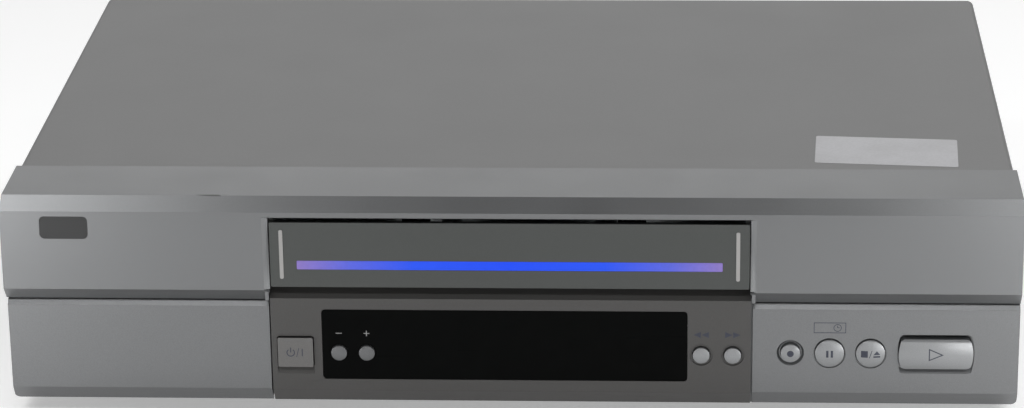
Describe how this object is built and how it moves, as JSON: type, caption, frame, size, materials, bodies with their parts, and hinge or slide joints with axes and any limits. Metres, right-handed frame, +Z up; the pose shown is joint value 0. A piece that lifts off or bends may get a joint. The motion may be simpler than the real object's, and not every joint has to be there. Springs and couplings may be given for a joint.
{
  "type": "video cassette recorder",
  "caption": "Front-loading video cassette recorder: steel cover, silver front with hinged cassette door, display window, push buttons, flap over front sockets and a working tape deck.",
  "frame": {"origin": "on the surface it stands on, under the middle of its whole width and depth, rear sockets included", "axes": "+X to the viewer's right along the width, -Y towards the viewer out of the front, +Z up"},
  "size_m": [0.4, 0.28, 0.094],
  "materials": {
    "cover_steel": "fine matt grey paint on sheet steel",
    "silver_plastic": "satin silver paint on moulded plastic",
    "fascia_plastic": "satin warm grey paint on moulded plastic",
    "door_plastic": "satin dark grey plastic",
    "strip_blue": "clear plastic printed blue",
    "window_smoke": "smoked clear plastic",
    "badge_grey": "dark bright plastic",
    "button_silver": "silver painted plastic",
    "window_button": "grey plastic",
    "zinc_steel": "zinc plated sheet steel",
    "rear_steel": "grey painted sheet steel",
    "drum_aluminium": "diamond-turned aluminium",
    "brass_metal": "brass coloured plating",
    "mechanism_plastic": "natural acetal plastic",
    "dark_plastic": "black moulded plastic",
    "circuit_board": "board with green lacquer",
    "paper_board": "bare paper laminate board",
    "steel_rubber": "soft black rubber",
    "display_glass": "dark glass tube",
    "winding": "lacquered steel laminations",
    "screw_steel": "blackened steel"
  },
  "bodies": {
    "casing": {"top_cover": "cover_steel", "bottom_chassis": "zinc_steel", "rear_panel": "rear_steel", "feet": "dark_plastic", "front_bezel": "silver_plastic", "centre_fascia": "fascia_plastic", "control_panel": "silver_plastic", "display_window": "window_smoke", "badge_plate": "badge_grey", "door_spring": "screw_steel", "front_circuit_board": "paper_board", "tact_switches": "dark_plastic", "fluorescent_display": "display_glass", "front_jacks": "brass_metal", "main_circuit_board": "circuit_board", "power_supply_board": "paper_board", "transformer": "winding", "power_capacitors": "dark_plastic", "heat_sink": "drum_aluminium", "tuner_module": "zinc_steel", "scart_sockets": "dark_plastic", "rear_jacks": "brass_metal", "mains_inlet": "dark_plastic", "deck_chassis": "zinc_steel", "housing_brackets": "zinc_steel", "drum_base": "drum_aluminium", "lower_drum": "drum_aluminium", "capstan_motor": "circuit_board", "tape_heads": "zinc_steel", "loading_motor": "zinc_steel", "casing_screws": "screw_steel", "deck_screws": "screw_steel"},
    "cassette_door": {"cassette_door": "door_plastic", "door_strip": "strip_blue"},
    "connector_cover": {"connector_cover": "silver_plastic"},
    "power_button": {"power_button": "button_silver"},
    "channel_down_button": {"channel_down_button": "window_button"},
    "channel_up_button": {"channel_up_button": "window_button"},
    "rewind_button": {"rewind_button": "button_silver"},
    "fast_forward_button": {"fast_forward_button": "button_silver"},
    "record_button": {"record_button": "button_silver"},
    "pause_button": {"pause_button": "button_silver"},
    "stop_eject_button": {"stop_eject_button": "button_silver"},
    "play_button": {"play_button": "button_silver"},
    "lift_carriage": {"lift_carriage": "zinc_steel"},
    "cassette_holder": {"cassette_holder": "zinc_steel"},
    "upper_drum": {"upper_drum": "drum_aluminium"},
    "capstan": {"capstan_flywheel": "brass_metal"},
    "supply_reel_table": {"supply_reel_table": "dark_plastic"},
    "takeup_reel_table": {"takeup_reel_table": "dark_plastic"},
    "idler_arm": {"idler_arm": "mechanism_plastic"},
    "idler_wheel": {"idler_wheel": "steel_rubber"},
    "pinch_roller_arm": {"pinch_roller_arm": "zinc_steel"},
    "pinch_roller": {"pinch_roller": "steel_rubber"},
    "tension_arm": {"tension_arm": "zinc_steel"},
    "cam_gear": {"cam_gear": "mechanism_plastic"},
    "supply_loading_arm": {"supply_loading_arm": "mechanism_plastic", "supply_guide": "zinc_steel"},
    "takeup_loading_arm": {"takeup_loading_arm": "mechanism_plastic", "takeup_guide": "zinc_steel"}
  },
  "joints": [
    {"name": "cassette_door_hinge", "type": "hinge", "parent": "casing", "child": "cassette_door", "pos_m": [0, -0.1344, 0.087], "axis": [-1, 0, 0], "range_deg": [-88, 0], "stiffness_Nm_per_rad": 0.001, "springref_deg": 20.05},
    {"name": "connector_cover_hinge", "type": "hinge", "parent": "casing", "child": "connector_cover", "pos_m": [-0.147, -0.1308, 0.0109], "axis": [1, 0, 0], "range_deg": [0, 88]},
    {"name": "power_button_press", "type": "slide", "parent": "casing", "child": "power_button", "axis": [0, 1, 0], "range_m": [0, 0.001], "stiffness_N_per_m": 300},
    {"name": "channel_down_button_press", "type": "slide", "parent": "casing", "child": "channel_down_button", "axis": [0, 1, 0], "range_m": [0, 0.001], "stiffness_N_per_m": 300},
    {"name": "channel_up_button_press", "type": "slide", "parent": "casing", "child": "channel_up_button", "axis": [0, 1, 0], "range_m": [0, 0.001], "stiffness_N_per_m": 300},
    {"name": "rewind_button_press", "type": "slide", "parent": "casing", "child": "rewind_button", "axis": [0, 1, 0], "range_m": [0, 0.001], "stiffness_N_per_m": 300},
    {"name": "fast_forward_button_press", "type": "slide", "parent": "casing", "child": "fast_forward_button", "axis": [0, 1, 0], "range_m": [0, 0.001], "stiffness_N_per_m": 300},
    {"name": "record_button_press", "type": "slide", "parent": "casing", "child": "record_button", "axis": [0, 1, 0], "range_m": [0, 0.001], "stiffness_N_per_m": 300},
    {"name": "pause_button_press", "type": "slide", "parent": "casing", "child": "pause_button", "axis": [0, 1, 0], "range_m": [0, 0.001], "stiffness_N_per_m": 300},
    {"name": "stop_eject_button_press", "type": "slide", "parent": "casing", "child": "stop_eject_button", "axis": [0, 1, 0], "range_m": [0, 0.001], "stiffness_N_per_m": 300},
    {"name": "play_button_press", "type": "slide", "parent": "casing", "child": "play_button", "axis": [0, 1, 0], "range_m": [0, 0.001], "stiffness_N_per_m": 300},
    {"name": "carriage_slide", "type": "slide", "parent": "casing", "child": "lift_carriage", "axis": [0, 1, 0], "range_m": [0, 0.056]},
    {"name": "holder_drop", "type": "slide", "parent": "lift_carriage", "child": "cassette_holder", "axis": [0, 0, -1], "range_m": [0, 0.022]},
    {"name": "drum_spin", "type": "hinge", "parent": "casing", "child": "upper_drum", "pos_m": [0, 0.082, 0.0326], "axis": [0, 0.1045, 0.9945], "continuous": true},
    {"name": "capstan_spin", "type": "hinge", "parent": "casing", "child": "capstan", "pos_m": [0.06, 0.044, 0.03], "axis": [0, 0, 1], "continuous": true},
    {"name": "supply_reel_spin", "type": "hinge", "parent": "casing", "child": "supply_reel_table", "pos_m": [-0.046, -0.019, 0.03], "axis": [0, 0, 1], "continuous": true},
    {"name": "takeup_reel_spin", "type": "hinge", "parent": "casing", "child": "takeup_reel_table", "pos_m": [0.046, -0.019, 0.03], "axis": [0, 0, 1], "continuous": true},
    {"name": "idler_swing", "type": "hinge", "parent": "casing", "child": "idler_arm", "pos_m": [0, 0.003, 0.03], "axis": [0, 0, 1], "range_deg": [-6, 6]},
    {"name": "idler_wheel_spin", "type": "hinge", "parent": "idler_arm", "child": "idler_wheel", "pos_m": [0, -0.019, 0.028], "axis": [0, 0, 1], "continuous": true},
    {"name": "pinch_arm_swing", "type": "hinge", "parent": "casing", "child": "pinch_roller_arm", "pos_m": [0.084, 0.052, 0.03], "axis": [0, 0, 1], "range_deg": [-28, 0]},
    {"name": "pinch_roller_spin", "type": "hinge", "parent": "pinch_roller_arm", "child": "pinch_roller", "pos_m": [0.07469, 0.02848, 0.04], "axis": [0, 0, 1], "continuous": true},
    {"name": "tension_arm_swing", "type": "hinge", "parent": "casing", "child": "tension_arm", "pos_m": [-0.076, 0.01, 0.03], "axis": [0, 0, 1], "range_deg": [-8, 8], "stiffness_Nm_per_rad": 0.01},
    {"name": "cam_turn", "type": "hinge", "parent": "casing", "child": "cam_gear", "pos_m": [-0.058, -0.064, 0.02], "axis": [0, 0, 1], "range_deg": [0, 162]},
    {"name": "supply_loading_swing", "type": "hinge", "parent": "casing", "child": "supply_loading_arm", "pos_m": [-0.012, 0.057, 0.02], "axis": [0, 0, 1], "range_deg": [-81, 0]},
    {"name": "takeup_loading_swing", "type": "hinge", "parent": "casing", "child": "takeup_loading_arm", "pos_m": [0.012, 0.057, 0.02], "axis": [0, 0, 1], "range_deg": [0, 81]}
  ],
  "couplings": [
    {"joint": "supply_loading_swing", "follows": "cam_turn", "ratio": -0.5},
    {"joint": "takeup_loading_swing", "follows": "cam_turn", "ratio": 0.5}
  ]
}
